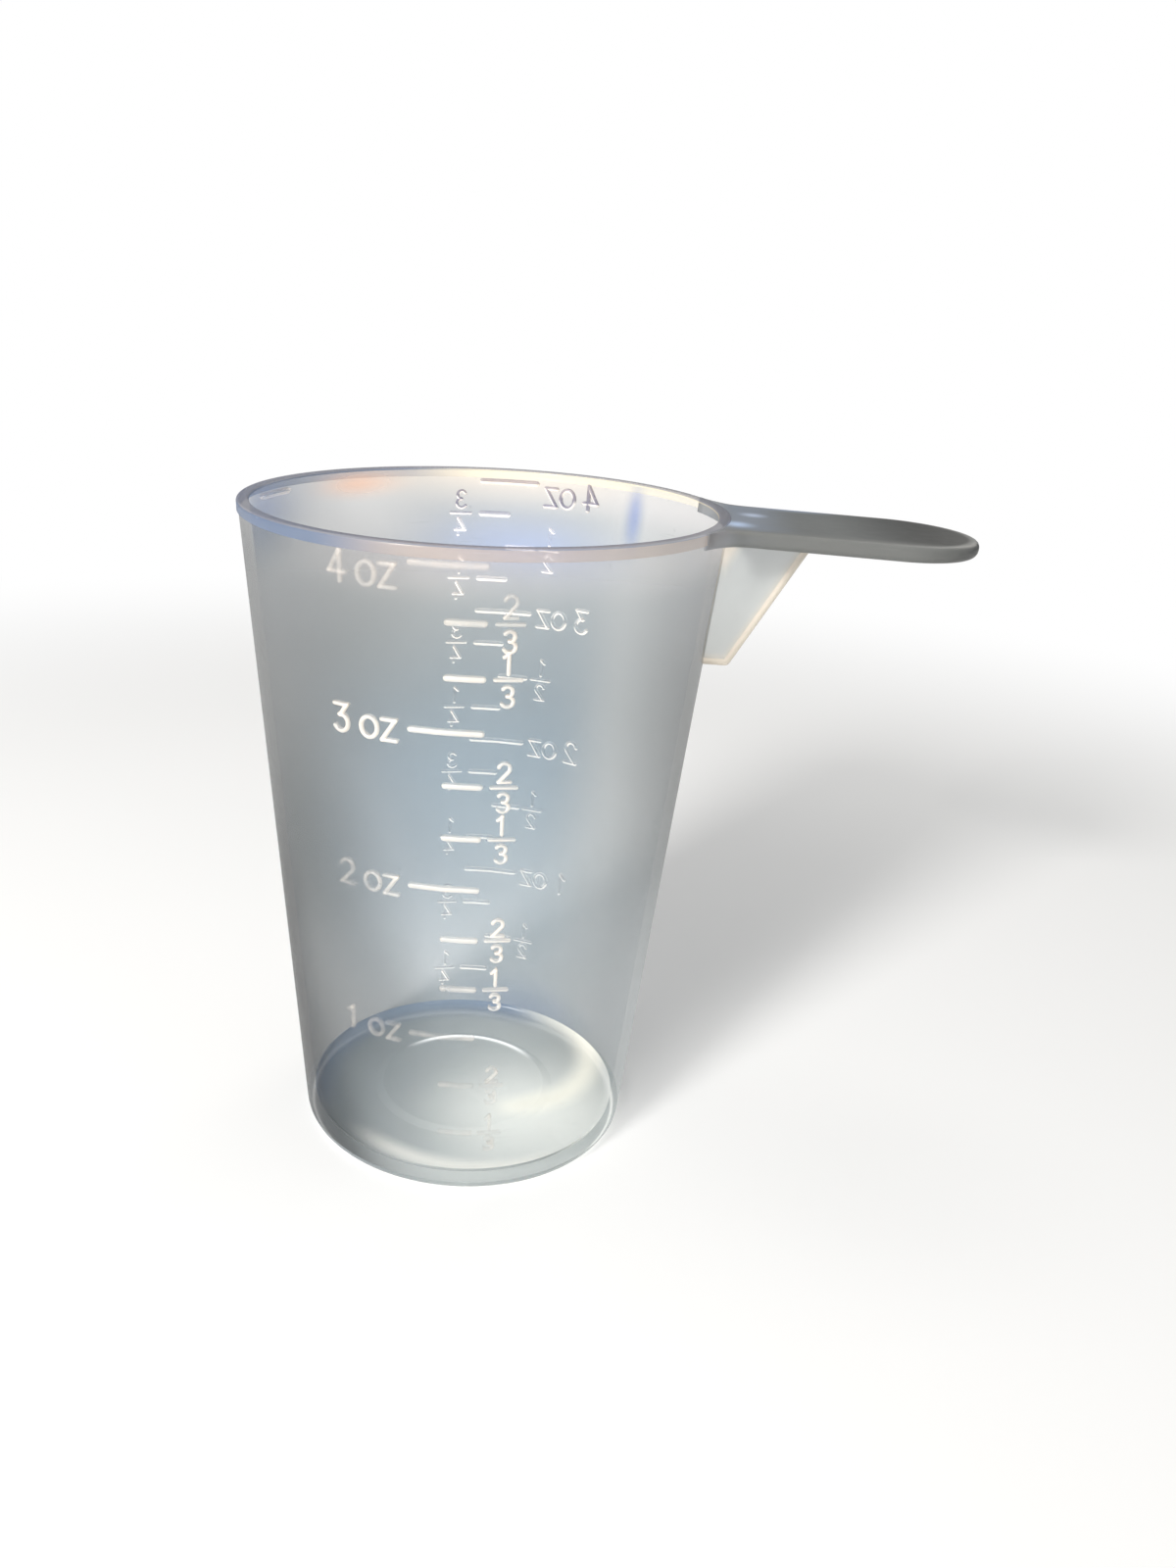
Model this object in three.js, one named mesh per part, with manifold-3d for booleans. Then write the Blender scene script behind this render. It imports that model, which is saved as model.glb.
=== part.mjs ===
// A small moulded measuring cup: a tapered body under a rim bead, a flat handle
// with a gusset below it, and two scales of raised lines up the outside.
// Millimetres, +Z up. The origin is the middle of the underside, and the handle
// points along +X.
import * as THREE from 'three';
import { mergeVertices } from 'three/addons/utils/BufferGeometryUtils.js';
import Module from 'manifold-3d';

const wasm = await Module();
wasm.setup();

// What the cup measures
const fluidOunce = 29573.5;      // cubic millimetres in one US fluid ounce
const fullOunces = 4;            // the topmost line, just under the rim

// Body
const footRadius = 21.25;        // outside of the wall, carried down to the bench
const wallDraft = 3.62;          // degrees that the wall leans outwards
const wallThickness = 1.2;
const floorThickness = 1.8;
const heelRound = 1.1;           // between wall and underside
const cornerRound = 1.0;         // between wall and floor, inside
const floorDiscRadius = 11;      // low disc in the middle of the floor
const floorDiscHeight = 0.35;

// Rim bead
const rimHeight = 1.2;
const rimOverhang = 0.12;        // how far it stands out from the wall
const rimRound = 0.3;            // its edges

// Raised lines of the scales
const lineWidth = 0.7;
const lineRelief = 0.3;          // height above the wall
const lineUnderRim = 0.08;       // space between the full line and the rim bead
const wholeLength = 7.6;         // at the whole ounces
const partLength = 4.1;          // at the fractions
const quarterScaleAzimuth = 90;  // degrees round the cup from the handle
const thirdScaleAzimuth = -90;
const fullLineAzimuth = 165;     // one more full line, away from the handle
const fullLineLength = 6.2;

// Handle
const handleReach = 51.8;        // from the cup's axis to the tip
const handleWidth = 17.5;
const handleThickness = 1.55;
const handleSetDown = 0.08;      // its top face below the top of the rim
const handleDroop = 1.5;         // degrees that it falls towards the tip
const handleEdgeRound = 0.55;
const handleRootRound = 5.7;     // where its sides run into the rim

// Gusset under the handle
const gussetReach = 9.9;         // along the handle, from the wall
const gussetDrop = 15.7;         // from the top of the rim to its lower edge
const gussetFoot = 2.8;          // width of the lower edge, from the wall
const gussetThickness = 1.8;
const gussetEdgeRound = 0.8;

// Fits and facets
const seatGap = 0.05;            // clearance of a piece to the one that it seats on
const facets = 96;               // sides of every round piece
const arcSteps = 2;              // half the steps of each small round
const weldDistance = 1e-4;

const draft = THREE.MathUtils.degToRad(wallDraft);
const droop = THREE.MathUtils.degToRad(handleDroop);

// Radius of the outside and of the inside of the wall at a height
function wallOutside(height) {
  return footRadius + height * Math.tan(draft);
}

function wallInside(height) {
  return wallOutside(height) - wallThickness / Math.cos(draft);
}

// The inside surface of the cup from the middle of the floor up to a height
function insideOutline(height) {
  const cornerHeight = floorThickness + cornerRound;
  const cornerCentre = wallInside(cornerHeight) - cornerRound / Math.cos(draft);
  const outline = new THREE.Path();
  outline.moveTo(0, floorThickness + floorDiscHeight);
  outline.lineTo(floorDiscRadius, floorThickness + floorDiscHeight);
  outline.lineTo(floorDiscRadius + floorDiscHeight, floorThickness);
  outline.lineTo(cornerCentre, floorThickness);
  outline.absarc(cornerCentre, cornerHeight, cornerRound, -Math.PI / 2, -draft, false);
  outline.lineTo(wallInside(height), height);
  return outline.getPoints(arcSteps);
}

// Liquid that the cup holds when filled to a height: a sum of cone slices
function contents(height) {
  const points = insideOutline(height);
  let volume = 0;
  for (let i = 1; i < points.length; i += 1) {
    const low = points[i - 1];
    const high = points[i];
    const section = low.x * low.x + low.x * high.x + high.x * high.x;
    volume += Math.PI / 3 * section * (high.y - low.y);
  }
  return volume;
}

// The height to which a volume fills the cup, found by halving the range
function levelHolding(volume) {
  const widestFloor = wallInside(floorThickness);
  const halvings = 40;
  let low = floorThickness + floorDiscHeight + cornerRound;
  let high = low + volume / (Math.PI * widestFloor * widestFloor);
  for (let i = 0; i < halvings; i += 1) {
    const middle = (low + high) / 2;
    if (contents(middle) < volume) {
      low = middle;
    } else {
      high = middle;
    }
  }
  return (low + high) / 2;
}

// The full line decides how tall the cup is
const fullLevel = levelHolding(fullOunces * fluidOunce);
const rimBase = fullLevel + lineWidth / 2 + lineUnderRim;
const cupHeight = rimBase + rimHeight;
const rimRadius = wallOutside(cupHeight) + rimOverhang;

// Join the shared corners of a geometry and hand it over as a solid
function solidOf(geometry) {
  geometry.deleteAttribute('normal');
  geometry.deleteAttribute('uv');
  const welded = mergeVertices(geometry, weldDistance);
  const corners = welded.index.array;
  const triangles = [];
  for (let i = 0; i < corners.length; i += 3) {
    const [a, b, c] = corners.slice(i, i + 3);
    if (a !== b && b !== c && c !== a) {
      triangles.push(a, b, c);
    }
  }
  const mesh = new wasm.Mesh({
    numProp: 3,
    vertProperties: new Float32Array(welded.attributes.position.array),
    triVerts: new Uint32Array(triangles),
  });
  return new wasm.Manifold(mesh);
}

// Turn a closed outline of radius and height round the cup's axis
function revolve(points) {
  const geometry = new THREE.LatheGeometry(points, facets);
  geometry.rotateX(Math.PI / 2);
  return solidOf(geometry);
}

// A flat plate with rounded edges whose outline keeps its size, from z = 0 downwards
function roundedPlate(shape, thickness, edgeRound) {
  const depth = thickness - 2 * edgeRound;
  const geometry = new THREE.ExtrudeGeometry(shape, {
    depth,
    curveSegments: 4 * arcSteps,
    bevelEnabled: edgeRound > 0,
    bevelThickness: edgeRound,
    bevelSize: edgeRound,
    bevelOffset: -edgeRound,
    bevelSegments: arcSteps,
  });
  geometry.translate(0, 0, -depth - edgeRound);
  return geometry;
}

function cupBody() {
  const heelCentre = wallOutside(heelRound) - heelRound / Math.cos(draft);
  const outside = new THREE.Path();
  outside.moveTo(0, 0);
  outside.lineTo(heelCentre, 0);
  outside.absarc(heelCentre, heelRound, heelRound, -Math.PI / 2, -draft, false);
  outside.lineTo(wallOutside(rimBase), rimBase);
  return revolve([...outside.getPoints(arcSteps), ...insideOutline(rimBase).reverse()]);
}

function rimBead() {
  const inner = wallInside(cupHeight);
  const outline = new THREE.Path();
  outline.moveTo(wallInside(rimBase), rimBase);
  outline.lineTo(rimRadius - rimRound, rimBase);
  outline.absarc(rimRadius - rimRound, rimBase + rimRound, rimRound, -Math.PI / 2, 0, false);
  outline.absarc(rimRadius - rimRound, cupHeight - rimRound, rimRound, 0, Math.PI / 2, false);
  outline.lineTo(inner + rimRound, cupHeight);
  outline.absarc(inner + rimRound, cupHeight - rimRound, rimRound, Math.PI / 2, Math.PI, false);
  outline.lineTo(wallInside(rimBase), rimBase);
  return revolve(outline.getPoints(arcSteps));
}

// Everything inside the cup's outer surface, grown by the seat's clearance and
// carried on above the rim, where a drooping handle's root would rise
function cupEnvelope() {
  const top = cupHeight + rimHeight;
  return revolve([
    new THREE.Vector2(0, 0),
    new THREE.Vector2(wallOutside(0) + seatGap, 0),
    new THREE.Vector2(wallOutside(rimBase) + seatGap, rimBase - seatGap),
    new THREE.Vector2(rimRadius + seatGap, rimBase - seatGap),
    new THREE.Vector2(rimRadius + seatGap, top),
    new THREE.Vector2(0, top),
  ]);
}

// Seen from above: parallel sides, a round end, and root rounds that meet the rim
function handleOutline() {
  const half = handleWidth / 2;
  const rootY = half + handleRootRound;
  const rootReach = rimRadius + handleRootRound;
  const rootX = Math.sqrt(rootReach * rootReach - rootY * rootY);
  const rootAngle = Math.atan2(rootY, rootX);
  const buriedRadius = wallInside(rimBase);
  const buriedX = buriedRadius * Math.cos(rootAngle);
  const buriedY = buriedRadius * Math.sin(rootAngle);
  const shape = new THREE.Shape();
  shape.absarc(handleReach - half, 0, half, -Math.PI / 2, Math.PI / 2, false);
  shape.absarc(rootX, rootY, handleRootRound, -Math.PI / 2, rootAngle - Math.PI, true);
  shape.lineTo(buriedX, buriedY);
  shape.lineTo(buriedX, -buriedY);
  shape.absarc(rootX, -rootY, handleRootRound, Math.PI - rootAngle, Math.PI / 2, true);
  return shape;
}

// The handle before it is cut to the cup, thicker by a clearance on both faces
function handlePlate(clearance, edgeRound) {
  const thickness = handleThickness + 2 * clearance;
  const geometry = roundedPlate(handleOutline(), thickness, edgeRound);
  geometry.translate(-rimRadius, 0, clearance);
  geometry.rotateY(droop);
  geometry.translate(rimRadius, 0, cupHeight - handleSetDown);
  return solidOf(geometry);
}

function handle() {
  return handlePlate(0, handleEdgeRound).subtract(cupEnvelope());
}

// A web in the plane of the handle's middle, cut to the wall and to the handle
function gusset() {
  const bottom = cupHeight - gussetDrop;
  const top = cupHeight - handleSetDown - handleThickness / 2;
  const wallAtBottom = wallOutside(bottom);
  const shape = new THREE.Shape();
  shape.moveTo(wallAtBottom - wallThickness, bottom);
  shape.lineTo(wallAtBottom + gussetFoot, bottom);
  shape.lineTo(wallOutside(top) + gussetReach, top);
  shape.lineTo(wallAtBottom - wallThickness, top);
  const geometry = roundedPlate(shape, gussetThickness, gussetEdgeRound);
  geometry.translate(0, 0, gussetThickness / 2);
  geometry.rotateX(Math.PI / 2);
  return solidOf(geometry).subtract(cupEnvelope()).subtract(handlePlate(seatGap, 0));
}

// A bar with round ends that follows the wall. Its ends lie along the wall, in
// millimetres to the left and right of the azimuth as read from outside.
function raisedLine(azimuth, level, left, right) {
  const half = lineWidth / 2;
  const shape = new THREE.Shape();
  shape.absarc(left + half, 0, half, Math.PI / 2, Math.PI * 1.5, false);
  shape.absarc(right - half, 0, half, -Math.PI / 2, Math.PI / 2, false);
  const outermost = wallOutside(level) + lineRelief + lineWidth;
  const geometry = new THREE.ExtrudeGeometry(shape, {
    depth: outermost,
    curveSegments: 2 * arcSteps,
    bevelEnabled: false,
  });
  geometry.rotateX(Math.PI / 2);
  geometry.rotateZ(Math.PI / 2 + THREE.MathUtils.degToRad(azimuth));
  geometry.translate(0, 0, level);
  const low = level - lineWidth;
  const high = level + lineWidth;
  const band = revolve([
    new THREE.Vector2(wallOutside(low) + seatGap, low),
    new THREE.Vector2(wallOutside(low) + lineRelief, low),
    new THREE.Vector2(wallOutside(high) + lineRelief, high),
    new THREE.Vector2(wallOutside(high) + seatGap, high),
    new THREE.Vector2(wallOutside(low) + seatGap, low),
  ]);
  return solidOf(geometry).intersect(band);
}

const cup = new THREE.Group();

function addPiece(name, solid, colour, roughness) {
  const mesh = solid.getMesh();
  const geometry = new THREE.BufferGeometry();
  geometry.setAttribute('position', new THREE.BufferAttribute(mesh.vertProperties, 3));
  geometry.setIndex(new THREE.BufferAttribute(mesh.triVerts, 1));
  geometry.computeVertexNormals();
  const material = new THREE.MeshStandardMaterial({ color: colour, roughness, metalness: 0 });
  const piece = new THREE.Mesh(geometry, material);
  piece.name = name;
  cup.add(piece);
}

// Lines at every step of a scale. Fractions are short and end flush with the whole
// lines, at their left or right end.
function addScale(title, azimuth, stepsPerOunce, shortLineEnds) {
  for (let step = 1; step <= fullOunces * stepsPerOunce; step += 1) {
    const whole = Math.floor(step / stepsPerOunce);
    const rest = step % stepsPerOunce;
    const level = levelHolding(step / stepsPerOunce * fluidOunce);
    let left = -wholeLength / 2;
    let right = wholeLength / 2;
    if (rest > 0 && shortLineEnds[rest - 1] === 'left') {
      right = left + partLength;
    }
    if (rest > 0 && shortLineEnds[rest - 1] === 'right') {
      left = right - partLength;
    }
    const name = `${title}_line_${whole}_${rest}`;
    addPiece(name, raisedLine(azimuth, level, left, right), 0xd5dcde, 0.35);
  }
}

addPiece('cup_body', cupBody(), 0xaab3b8, 0.38);
addPiece('rim_bead', rimBead(), 0xb9c3cc, 0.3);
addPiece('handle', handle(), 0x747a7a, 0.4);
addPiece('handle_gusset', gusset(), 0xcdd2d2, 0.42);
addScale('quarter', quarterScaleAzimuth, 4, ['right', 'left', 'right']);
addScale('third', thirdScaleAzimuth, 3, ['right', 'right']);
const fullLine = raisedLine(fullLineAzimuth, fullLevel, -fullLineLength / 2, fullLineLength / 2);
addPiece('full_line', fullLine, 0xd5dcde, 0.35);

export default cup;
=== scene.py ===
import bpy
import bmesh
from math import atan2, cos, pi, radians, sin, sqrt, tan
from mathutils import Matrix, Vector


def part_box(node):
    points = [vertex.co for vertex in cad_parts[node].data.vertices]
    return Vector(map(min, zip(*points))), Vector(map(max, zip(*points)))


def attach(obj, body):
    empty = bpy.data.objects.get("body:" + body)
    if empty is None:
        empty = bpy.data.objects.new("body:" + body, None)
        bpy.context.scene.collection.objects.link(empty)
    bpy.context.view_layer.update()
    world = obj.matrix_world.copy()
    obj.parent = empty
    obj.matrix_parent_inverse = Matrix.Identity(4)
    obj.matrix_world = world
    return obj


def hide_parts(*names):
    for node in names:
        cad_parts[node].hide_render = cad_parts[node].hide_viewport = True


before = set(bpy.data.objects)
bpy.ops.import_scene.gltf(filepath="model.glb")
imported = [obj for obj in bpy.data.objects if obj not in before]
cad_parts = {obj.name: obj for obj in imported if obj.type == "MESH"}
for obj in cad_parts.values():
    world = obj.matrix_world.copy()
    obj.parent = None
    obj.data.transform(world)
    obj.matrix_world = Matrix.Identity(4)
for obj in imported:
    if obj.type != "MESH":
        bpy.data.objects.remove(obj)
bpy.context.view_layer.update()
print("frame loaded,", len(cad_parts), "solids")

mm = 0.001
tiny = 1e-7  # points nearer than this are one point


def colour(red, green, blue):
    return (red, green, blue, 1.0)


def grey(level):
    return colour(level, level, level)


def between(first, second):  # the colour halfway
    return tuple((a + b) / 2 for a, b in zip(first, second))


# Shader expressions

class Tap:  # a node's output, used like a number
    def __init__(self, finish, socket):
        self.finish = finish
        self.socket = socket

    def sum(self, operation, first, second):
        return self.finish.node("ShaderNodeMath", {"operation": operation}, {0: first, 1: second})

    def __add__(self, other):
        return self.sum("ADD", self, other)

    def __radd__(self, other):
        return self.sum("ADD", other, self)

    def __sub__(self, other):
        return self.sum("SUBTRACT", self, other)

    def __rsub__(self, other):
        return self.sum("SUBTRACT", other, self)

    def __mul__(self, other):
        return self.sum("MULTIPLY", self, other)

    def __rmul__(self, other):
        return self.sum("MULTIPLY", other, self)

    def __abs__(self):
        return self.sum("ABSOLUTE", self, 0.0)


class Finish:  # one node tree, of a material or of the world
    def __init__(self, owner):
        owner.use_nodes = True
        self.owner = owner
        self.tree = owner.node_tree
        self.tree.nodes.clear()

    def node(self, kind, settings, sockets, out=0):
        made = self.tree.nodes.new(kind)
        for name, value in settings.items():
            setattr(made, name, value)
        for name, value in sockets.items():
            if isinstance(value, Tap):
                self.tree.links.new(value.socket, made.inputs[name])
            else:
                made.inputs[name].default_value = value
        return Tap(self, made.outputs[out])

    def mix(self, share, first, second):  # two colours
        return self.node("ShaderNodeMix", {"data_type": "RGBA"}, {0: share, 6: first, 7: second}, 2)

    def ramp(self, value, low, high, start=0.0, end=1.0):  # smooth step between two levels
        return self.node("ShaderNodeMapRange", {"interpolation_type": "SMOOTHSTEP"},
                         {0: value, 1: low, 2: high, 3: start, 4: end})

    def place(self, stretch=(1, 1, 1), turn=(0, 0, 0)):  # metres on the object
        where = self.node("ShaderNodeTexCoord", {}, {}, "Object")
        return self.node("ShaderNodeMapping", {}, {"Vector": where, "Rotation": turn, "Scale": stretch})

    def along(self, vector, axis):  # one of its X, Y and Z
        return self.node("ShaderNodeSeparateXYZ", {}, {0: vector}, axis)

    def vector(self, operation, first, second):
        return self.node("ShaderNodeVectorMath", {"operation": operation}, {0: first, 1: second})

    def length(self, vector):
        return self.node("ShaderNodeVectorMath", {"operation": "LENGTH"}, {0: vector}, "Value")

    def noise(self, where, scale, detail=1.0, rough=0.5):
        return self.node("ShaderNodeTexNoise", {}, {
            "Vector": where, "Scale": scale, "Detail": detail, "Roughness": rough})

    def glow(self, tint):  # light from behind
        return self.node("ShaderNodeBsdfTranslucent", {}, {"Color": tint})

    def clear(self, passed=1.0):  # lets this share of the light through
        return self.node("ShaderNodeBsdfTransparent", {}, {"Color": grey(passed)})

    def shaders(self, share, first, second):
        return self.node("ShaderNodeMixShader", {}, {0: share, 1: first, 2: second})

    def shadowed(self, seen, shade):  # what lamps meet differs from what is seen
        lampRay = self.node("ShaderNodeLightPath", {}, {}, "Is Shadow Ray")
        return self.shaders(lampRay, seen, shade)

    def show(self, surface, kind="ShaderNodeOutputMaterial"):
        made = self.tree.nodes.new(kind)
        self.tree.links.new(surface.socket, made.inputs["Surface"])
        return self.owner


# Milky plastic: clouds of flow, fine scuffs and specks over a see-through base, with painted light and
# shade laid on in fades and in rings and spots

grit = {  # fine detail that all the plastic has
    "flowLevels": (0.3, 0.7),            # of the clouds, from shade to tint
    "grainScale": 800.0,
    "patchScale": 95.0,                  # scuffs and specks lie in patches
    "patchLevels": (0.5, 0.66),
    "scuffStretch": (130, 130, 2600),
    "scuffTurn": (0.5, 0.3, 0.2),
    "scuffLevels": (0.66, 0.76),
    "speckScale": 480.0,
    "speckLevels": (0.11, 0.05),
    "wearCover": 0.3,                    # what scuffs and specks add to the cover
    "grainRoughness": 0.08,
    "scuffRoughness": 0.1,
    "bumpDepth": 0.1 * mm,
    "grazingLevels": (0.5, 1.0),         # how far a surface turns away from the eye
    "slantRise": 0.4,                    # a slant moves left by this much as it climbs
    "lowHeights": (90 * mm, 0.0),        # the deeper shadow grows downwards
    "lowDepths": (-6 * mm, 14 * mm),     # and towards the back
    "ior": 1.49,
}


def mouldedFinish(name, look):
    f = Finish(bpy.data.materials.new(name))
    where = f.place()
    clouds = f.noise(where, look["cloudScale"], detail=2.0, rough=0.55)
    drift = clouds - 0.5
    grain = f.noise(where, grit["grainScale"], rough=0.6)
    patches = f.ramp(f.noise(where, grit["patchScale"]), *grit["patchLevels"])
    scratch = f.noise(f.place(grit["scuffStretch"], grit["scuffTurn"]), 1.0)
    scuffs = f.ramp(scratch, *grit["scuffLevels"]) * patches
    spot = f.node("ShaderNodeTexVoronoi", {}, {"Vector": where, "Scale": grit["speckScale"]})
    specks = f.ramp(spot, *grit["speckLevels"]) * patches
    flow = f.ramp(clouds, *grit["flowLevels"])
    body = f.mix(flow, look["shade"], look["tint"])
    glowing = f.glow(between(look["shade"], look["tint"]))
    alpha = look["alpha"] + drift * look["alphaClouds"]
    side, depth, height = [f.along(where, axis) for axis in "XYZ"]
    measures = {  # what a fade or painted light can follow
        "edge": f.node("ShaderNodeAttribute", {"attribute_name": "edge"}, {}, "Fac"),
        "side": side,
        "depth": depth,
        "height": height,
        "slant": side + height * grit["slantRise"],
        "back left": depth - side,
    }
    for zone in look["fades"]:
        share = f.ramp(measures[zone["by"]] + drift * zone["ragged"], zone["start"], zone["end"])
        body = f.mix(share, body, f.mix(flow, zone["shade"], zone["tint"]))
        glowing = f.shaders(share, glowing, f.glow(between(zone["shade"], zone["tint"])))
        alpha = alpha + share * (zone["alpha"] - look["alpha"])
    # painted light and shade in rings and spots, some of it glowing through the emission
    shine = grey(0)
    for patch in look["paintedLights"]:
        offset = f.vector("SUBTRACT", where, patch["middle"])
        reach = f.length(f.vector("MULTIPLY", offset, patch["stretch"]))
        near = f.ramp(abs(reach - patch["radius"]), patch["width"], 0.0)
        share = near * f.ramp(measures[patch["by"]], patch["start"], patch["end"])
        body = f.mix(share, body, patch["tint"])
        glowing = f.shaders(share, glowing, f.glow(patch["tint"]))
        alpha = alpha + share * (patch["alpha"] - look["alpha"])
        shine = f.mix(share, shine, patch["shine"])
    facing = f.node("ShaderNodeLayerWeight", {}, {"Blend": 0.5}, "Facing")
    alpha = alpha + f.ramp(facing, *grit["grazingLevels"]) * look["grazing"]
    scuffed = scuffs * look["scuffs"]
    specked = specks * look["specks"]
    body = f.mix(scuffed, body, look["scuffColour"])
    body = f.mix(specked, body, look["speckColour"])
    alpha = alpha + (scuffed + specked) * grit["wearCover"]
    roughness = look["roughness"] + (grain - 0.5) * grit["grainRoughness"]
    roughness = roughness + scuffs * grit["scuffRoughness"]
    bump = f.node("ShaderNodeBump", {}, {
        "Strength": look["bump"], "Distance": grit["bumpDepth"], "Height": grain})
    plastic = f.node("ShaderNodeBsdfPrincipled", {}, {
        "Base Color": body, "Alpha": alpha, "Roughness": roughness, "IOR": grit["ior"],
        "Specular IOR Level": look["gloss"], "Normal": bump,
        "Emission Color": shine, "Emission Strength": 1.0})
    milky = f.shaders(look["glow"], plastic, f.shaders(alpha, f.clear(), glowing))
    lowBehind = f.ramp(height, *grit["lowHeights"]) * f.ramp(depth, *grit["lowDepths"])
    shade = f.shaders(lowBehind, f.clear(1 - look["shadow"]), f.clear(1 - look["lowShadow"]))
    return f.show(f.shadowed(milky, shade))


def fade(by, start, end, shade, tint, alpha, ragged=0.0):
    return {"by": by, "start": start, "end": end, "shade": shade, "tint": tint,
            "alpha": alpha, "ragged": ragged}


def swirl(middle, radius, width, tint, alpha, shine=0.0, by="height", start=-1.0, end=0.0,
          stretch=(1, 1, 1)):  # painted light or shade in a ring, or in a spot where the radius is 0
    middle = [c * mm for c in middle]
    lit = colour(*[c * shine for c in tint[:3]])
    return {"middle": middle, "radius": radius * mm, "width": width * mm, "tint": tint, "alpha": alpha,
            "shine": lit, "by": by, "start": start, "end": end, "stretch": stretch}


# Mesh helpers

def finishPiece(name, bm, finishes, replaced):
    bmesh.ops.recalc_face_normals(bm, faces=bm.faces)
    mesh = bpy.data.meshes.new(name)
    for face in bm.faces:
        face.smooth = True
    bm.to_mesh(mesh)
    bm.free()
    for finish in finishes:
        mesh.materials.append(finish)
    piece = bpy.data.objects.new(name, mesh)
    bpy.context.scene.collection.objects.link(piece)
    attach(piece, "root")
    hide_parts(*replaced)
    return piece


def crisp(piece):  # flat faces stay flat beside their rounds
    made = piece.modifiers.new("crisp", "WEIGHTED_NORMAL")
    made.weight = 80
    made.keep_sharp = True


def rounded(corners, steps):  # a path whose corners (x, y, round) become arcs
    path = []
    count = len(corners)
    for i, (x, y, radius) in enumerate(corners):
        here = Vector((x, y))
        if radius == 0:
            path.append(here)
            continue
        before = (Vector(corners[i - 1][:2]) - here).normalized()
        after = (Vector(corners[(i + 1) % count][:2]) - here).normalized()
        half = before.angle(after) / 2
        middle = here + (before + after).normalized() * (radius / sin(half))
        start = here + before * (radius / tan(half)) - middle
        end = here + after * (radius / tan(half)) - middle
        sweep = start.angle_signed(end)
        for k in range(steps + 1):
            turn = Matrix.Rotation(-sweep * k / steps, 2)
            path.append(middle + turn @ start)
    return path


def lathe(bm, path, segments, choose):  # turns a path of (radius, height) round the axis
    rings = []
    for radius, height in path:
        if radius < tiny:
            rings.append([bm.verts.new((0, 0, height))])
            continue
        angles = [2 * pi * k / segments for k in range(segments)]
        rings.append([bm.verts.new((radius * cos(a), radius * sin(a), height)) for a in angles])
    for i in range(len(rings) - 1):
        low, high = rings[i], rings[i + 1]
        middle = (path[i] + path[i + 1]) / 2
        for k in range(segments):
            n = (k + 1) % segments
            around = [low[k % len(low)], low[n % len(low)], high[n % len(high)], high[k % len(high)]]
            face = bm.faces.new(list(dict.fromkeys(around)))
            face.material_index = choose(middle.x, middle.y)


def inset(outline, distance, shares):  # each point of an anticlockwise outline moves in by its share
    moved = []
    count = len(outline)
    for i, point in enumerate(outline):
        along = (outline[(i + 1) % count] - outline[i - 1]).normalized()
        moved.append(point + Vector((-along.y, along.x)) * distance * shares[i])
    return moved


def plate(bm, outlineAt, sizes, place):  # a flat form with round edges
    half, edgeRound, steps = sizes["thickness"] / 2, sizes["edgeRound"], sizes["edgeSteps"]
    levels = [(sizes["band"], -half)]
    for k in range(steps + 1):
        a = pi / 2 * k / steps
        levels.append((edgeRound * (1 - sin(a)), -half + edgeRound * (1 - cos(a))))
    levels += [(d, -z) for d, z in reversed(levels)]
    edge = bm.verts.layers.float.new("edge")
    rings = []
    for d, z in levels:
        ring = [bm.verts.new(place(p.x, p.y, z)) for p in outlineAt(d)]
        for vert in ring:
            vert[edge] = 1 - d / sizes["band"]
        rings.append(ring)
    for low, high in zip(rings, rings[1:]):
        for k in range(len(low)):
            n = (k + 1) % len(low)
            bm.faces.new((low[k], low[n], high[n], high[k]))
    bm.faces.new(list(reversed(rings[0])))
    bm.faces.new(rings[-1])
    bmesh.ops.remove_doubles(bm, verts=bm.verts, dist=tiny)  # rings meet at a buried end


# Camera at the photograph's angle

shot = {
    "place": (16.51 * mm, -137.42 * mm, 98.54 * mm),
    "pitch": 0.5218,       # down
    "yaw": 0.0158 - radians(6.85),  # the handle points a little nearer
    "roll": 0.0447,
    "lens": 27.88,
    "shift": (0.0663, 0.1213),
    "near": 5 * mm,
}
flat = cos(shot["pitch"])
ahead = Vector((sin(shot["yaw"]) * flat, cos(shot["yaw"]) * flat, -sin(shot["pitch"])))
right = Vector((cos(shot["yaw"]), -sin(shot["yaw"]), 0))
above = right.cross(ahead)
across = right * cos(shot["roll"]) + above * sin(shot["roll"])
upward = above * cos(shot["roll"]) - right * sin(shot["roll"])
lensData = bpy.data.cameras.new("camera")
lensData.lens = shot["lens"]
lensData.shift_x, lensData.shift_y = shot["shift"]
lensData.clip_start = shot["near"]
camera = bpy.data.objects.new("camera", lensData)
turned = Matrix((across, upward, -ahead)).transposed().to_4x4()
camera.matrix_world = Matrix.Translation(shot["place"]) @ turned
bpy.context.scene.collection.objects.link(camera)
bpy.context.scene.camera = camera
print("camera set")


# Cup: wall, floor and rim turned from one profile

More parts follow.
